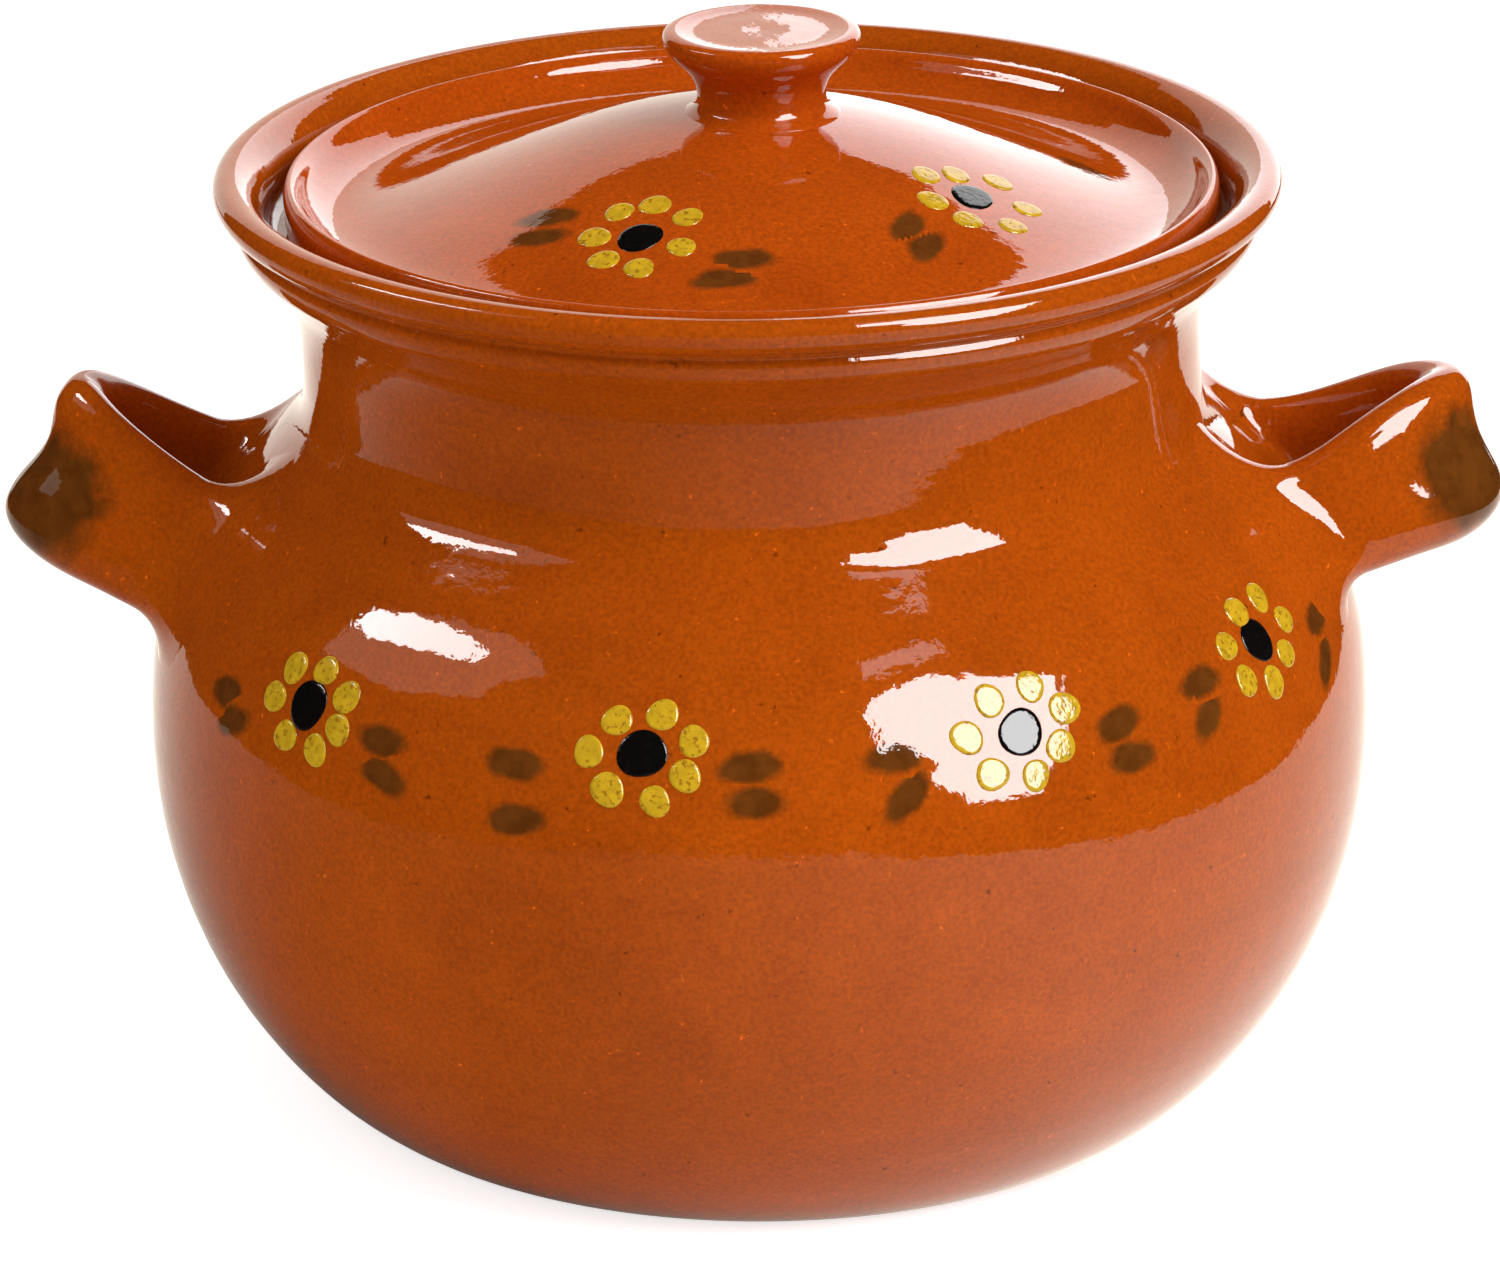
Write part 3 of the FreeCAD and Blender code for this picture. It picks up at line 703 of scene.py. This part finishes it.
def flowers(list_of, seat_of, body, petals, centres):
    """Yellow and black drops of all flowers of one body, as two pieces that replace its slip nodes."""
    middles = np.array([middle for middle, _ in list_of], float)
    clock, far = np.moveaxis(np.array([ring for _, ring in list_of], float), -1, 0)
    offsets = np.stack([far * np.cos(np.radians(clock)), far * np.sin(np.radians(clock))], -1)
    none = np.zeros((len(middles), 1, 2))
    for name, places, size, proud, slot, material in (
            (petals, offsets, PETAL, PETAL_PROUD, "yellow_slip", yellow),
            (centres, none, CENTRE, CENTRE_PROUD, "black_slip", black)):
        piece = drops(name, seat_of(middles, places), size, proud, body, material)
        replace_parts(piece, name.lower())


flowers(BELLY, belly_seats, "pot", "Belly_petals", "Belly_centres")
flowers(LID, lid_seats, "lid", "Lid_petals", "Lid_centres")

# %% [markdown]
# ### The brushed leaves
# Leaves are thin paint beside the flowers, and the ears' tips have a broad brushed patch. They
# have no thickness, so they belong in the material. A painted picture would need an image file.
# Instead each face of the clay takes the sideways and upward distance to its nearest leaf,
# measured in that leaf's own half length and half width, as its place in a map. The glaze then
# turns brown wherever the map is closer than about 1 to its middle.

# %% The brush marks
# Each leaf: its place, as a flower's, and its tilt in degrees.
BELLY_LEAF, LID_LEAF, EAR_PATCH = (5.6, 2.9), (6.0, 3.0), (12, 12)
BELLY_LEAVES = [
    (-149.4, 93.8, 10), (-147.0, 89.8, 20), (-127.0, 96.8, 0), (-126.1, 91.0, -15), (-112.8, 97.6, 0),
    (-112.0, 88.5, 10), (-90.9, 100.1, 5), (-90.5, 94.2, 0), (-77.9, 100.7, 5), (-76.9, 94.3, 45),
    (-54.8, 100.1, 15), (-54.1, 94.4, -5), (-43.6, 102.3, 0), (-44.0, 96.7, 40), (-20.5, 101.1, 10),
    (-22.4, 94.0, 40)]
BELLY_LEAVES += [(turned + 180, height, 10 - tilt) for turned, height, tilt in BELLY_LEAVES]
LID_LEAVES = [
    (-38.2, -32.3, 35), (-39.8, -38.3, 30), (-2.8, -53.3, 5), (-6.3, -58.5, 10), (26.2, -40.1, 40),
    (29.5, -44.8, 40), (17.5, 46.0, -15), (20.0, 52.5, -10), (-18.5, 45.0, 20), (-22.0, 51.0, 15)]
LEAF_DEPTH, PATCH_DEPTH = 4, 7
BARE = 9  # a place in the map that is far from every stroke


def paint(piece, where, tilt, half, depth=LEAF_DEPTH):
    """The map Strokes on a piece, from strokes at seats, tilted by degrees, of half a size in mm.

    Faces that lie further than the depth above or below the plane of a stroke stay clear of it.
    """
    point, sideways, climb, normal = [part.reshape(-1, 3) for part in where]
    turned = np.radians(np.asarray(tilt, float))[:, None]
    along = np.cos(turned) * sideways + np.sin(turned) * climb
    mesh = piece.data
    corner, spot = np.empty(len(mesh.loops), np.int32), np.empty(len(mesh.vertices) * 3, np.float32)
    mesh.loops.foreach_get("vertex_index", corner)
    mesh.vertices.foreach_get("co", spot)
    spot = spot.reshape(-1, 3)[corner.reshape(-1, 3)] / MM
    middle = spot.mean(1)
    nearest = np.argmin(((middle[:, None] - point) ** 2).sum(-1), axis=1)
    away = spot - point[nearest][:, None]
    u = np.einsum("fck,fk->fc", away, along[nearest]) / half[0]
    v = np.einsum("fck,fk->fc", away, np.cross(normal, along)[nearest]) / half[1]
    deep = np.abs(np.einsum("fk,fk->f", middle - point[nearest], normal[nearest])) > depth
    u[deep] += BARE
    layer = mesh.uv_layers.new(name="Strokes")
    layer.data.foreach_set("uv", np.stack([u, v], -1).astype(np.float32).ravel())
    print(f"{piece.name}: {len(point)} brush marks")


leaves = np.array(BELLY_LEAVES, float)
paint(pot, seats(outside, 1, leaves[:, 0], leaves[:, 1]), leaves[:, 2], BELLY_LEAF)
leaves = np.array(LID_LEAVES, float)
paint(lid, lid_seats(leaves[:, :2], np.zeros((len(leaves), 1, 2))), leaves[:, 2], LID_LEAF)
# An ear's patch lies on its tip and faces outwards and a little to the front.
for piece, side, middle in ((left_ear, -1, (-132, -9, 114)), (right_ear, 1, (131, -9, 119))):
    axes = (middle, (side * 0.6, 0.8, 0), (0, 0, 1), (side * 0.8, -0.6, 0))
    paint(piece, [np.array(axis, float) for axis in axes], [0], EAR_PATCH, PATCH_DEPTH)
knob_layer = knob.data.uv_layers.new(name="Strokes")
knob_layer.data.foreach_set("uv", np.full(len(knob.data.loops) * 2, BARE, np.float32))

# %% [markdown]
# ## The studio
# Glaze is a mirror, so most of what makes a pot look wet is the room that it shows: a window and
# its top pane, a strip lamp and its glow, and the walls behind the pot. Real lamps in those places
# would also change how bright the clay is. So each of them is a card that glows only in
# reflections, and other lamps light the clay.

# %% The cards
WHITE, WARM = (1, 1, 1, 1), (1, 0.93, 0.82, 1)
MIDDLE = 0.1  # height of the pot's middle


def toward(turned, rise, far):
    """A place as seen from the pot's middle: 0 turned is towards the viewer, 90 to the right."""
    a, e = math.radians(turned), math.radians(rise)
    level = far * math.cos(e)
    return (level * math.sin(a), -level * math.cos(a), MIDDLE + far * math.sin(e))


def stage_piece(name, points, faces, material):
    """A mesh of the studio, which isn't part of the object."""
    mesh = bpy.data.meshes.new(name)
    mesh.from_pydata(points, [], faces)
    mesh.materials.append(material)
    made = bpy.data.objects.new(name, mesh)
    scene.collection.objects.link(made)
    print(f"{name}: {len(points)} points")
    return made


def card(name, corners, strength, distance=1.5, colour=WHITE):
    """A glowing board that shows only in reflections.

    Its corners are directions from the pot in degrees, turned and risen. They lie on a sphere,
    joined to the middle one by a fan.
    """
    material, tree = new_material(name)
    glow = add(tree, "ShaderNodeEmission", {"Color": colour, "Strength": strength})
    add(tree, "ShaderNodeOutputMaterial", {"Surface": glow.outputs[0]})
    points = [toward(*np.mean(corners, axis=0), distance)]
    points += [toward(*corner, distance) for corner in corners]
    fan = [(0, k + 1, (k + 1) % len(corners) + 1) for k in range(len(corners))]
    board = stage_piece(name, points, fan, material)
    board.visible_camera = board.visible_diffuse = board.visible_shadow = False


card("Strip_lamp", [(-99, 32), (-97, 37), (-89, 42), (-77, 46), (-70, 47), (-71, 43.5), (-81, 39.5),
                    (-93, 33)], 26)
card("Strip_glow", [(-98, 24), (-99, 33), (-90, 43), (-77, 48.5), (-62, 52), (-54, 49), (-62, 38),
                    (-78, 28)], 1.3, distance=1.6, colour=WARM)
card("Window", [(24, 34), (25, 47), (28, 50), (38, 53), (47, 53), (60, 47), (70, 40), (65, 34),
                (60, 25), (54, 15), (51, 7), (37, 9), (31, 19), (34, 28), (28, 36)], 26)
card("Window_top", [(28, 56.5), (31, 60), (55, 58.5), (55, 55.5)], 4)
card("Wall_behind_left", [(180, -4), (200, -4), (220, -4), (220, 15), (218, 28), (215, 40), (200, 40),
                          (180, 40)], 1.5, distance=1.25, colour=WARM)
card("Wall_behind_right", [(140, -4), (160, -4), (180, -4), (180, 40), (160, 40), (145, 40), (142, 28),
                           (140, 15)], 3.2, distance=1.25)

# %% [markdown]
# ### The table
# The pot stands on a white cloth. To the camera it is white but for the pot's shadow, which a
# plain diffuse floor keeps and a glowing one loses, so the two are added. In the glaze the cloth
# is bright on the lit side and dim on the other, which gives the belly its two tones.

# %% The table
CLOTH, ROOM = (0.96, 0.96, 0.96, 1), (0.5, 0.4, 0.35, 1)
LIT_SIDE = (0.77, 0.64, 0)

table_material, tree = new_material("Table")
path = add(tree, "ShaderNodeLightPath").outputs
cloth = add(tree, "ShaderNodeBsdfDiffuse", {"Color": CLOTH}).outputs[0]
white = add(tree, "ShaderNodeEmission", {"Strength": 0.72}).outputs[0]
bright = add(tree, "ShaderNodeAddShader", {0: cloth, 1: white}).outputs[0]
spot = add(tree, "ShaderNodeTexCoord").outputs["Object"]
around = add(tree, "ShaderNodeVectorMath", {0: spot}, operation="NORMALIZE").outputs[0]
lit = add(tree, "ShaderNodeVectorMath", {0: around, 1: LIT_SIDE}, operation="DOT_PRODUCT")
fade = add(tree, "ShaderNodeMapRange", {
    "Value": lit.outputs["Value"], "From Min": -0.95, "From Max": 0.1, "To Min": 0.12,
    "To Max": 1.5}).outputs[0]
mirrored = add(tree, "ShaderNodeEmission", {"Color": WARM, "Strength": fade}).outputs[0]
seen = add(tree, "ShaderNodeMixShader", {0: path["Is Camera Ray"], 1: cloth, 2: bright}).outputs[0]
seen = add(tree, "ShaderNodeMixShader", {0: path["Is Glossy Ray"], 1: seen, 2: mirrored}).outputs[0]
add(tree, "ShaderNodeOutputMaterial", {"Surface": seen})
table_corners = [(-0.43, -1.2, 0), (0.33, -1.2, 0), (0.45, 1.25, 0), (-0.6, 1.25, 0)]
stage_piece("Table", table_corners, [(0, 1, 2, 3)], table_material)

# %% [markdown]
# ## Light
# Soft light from all round lets the colour of the clay show as it is, and one large lamp on the
# right with a weak one on the left round off the belly. The lamps stay out of the reflections,
# because the cards already give those.

# %% The lamps
def lamp(name, place, energy):
    """A large soft lamp, aimed at the pot, that lights the clay but doesn't show in reflections."""
    light = bpy.data.lights.new(name, "AREA")
    light.shape, light.size, light.energy = "DISK", 1.2, energy
    made = bpy.data.objects.new(name, light)
    scene.collection.objects.link(made)
    made.location = place
    aim = Vector((0, 0, MIDDLE)) - Vector(place)
    made.rotation_euler = aim.to_track_quat("-Z", "Y").to_euler()
    made.visible_glossy = made.visible_camera = False
    print(f"{name}: {energy} W")


lamp("Key", toward(55, 42, 1.8), 23)
lamp("Fill", toward(-60, 40, 1.8), 4)

# %% The room
world = bpy.data.worlds.new("Room")
scene.world = world
world.use_nodes = True
tree = world.node_tree
tree.nodes.clear()
path = add(tree, "ShaderNodeLightPath").outputs
white = add(tree, "ShaderNodeBackground", {"Color": WHITE, "Strength": 1.0}).outputs[0]
mirrored = add(tree, "ShaderNodeBackground", {"Color": ROOM, "Strength": 0.02}).outputs[0]
lighting = add(tree, "ShaderNodeBackground", {"Color": WHITE, "Strength": 0.48}).outputs[0]
lit = add(tree, "ShaderNodeMixShader", {0: path["Is Glossy Ray"], 1: lighting, 2: mirrored})
room = add(tree, "ShaderNodeMixShader", {0: path["Is Camera Ray"], 1: lit.outputs[0], 2: white})
add(tree, "ShaderNodeOutputWorld", {"Surface": room.outputs[0]})
print("room:", len(tree.nodes), "nodes")

# %% [markdown]
# ## The camera
# A long lens some 1.2 m away keeps the pot's proportions, and a view from 21 degrees above level
# shows the lid and the front together.

# %% The camera
camera_data = bpy.data.cameras.new("Camera")
camera_data.sensor_width, camera_data.lens = 36.0, 152.3
camera = bpy.data.objects.new("Camera", camera_data)
scene.collection.objects.link(camera)
camera.location = (-1.8 * MM, -1121.9 * MM, 509.3 * MM)
camera.rotation_euler = (math.radians(69.22), 0, 0)
scene.camera = camera
scene.view_settings.view_transform = "Standard"
print("camera at", [round(v, 3) for v in camera.location], "with a lens of", round(camera_data.lens, 1))
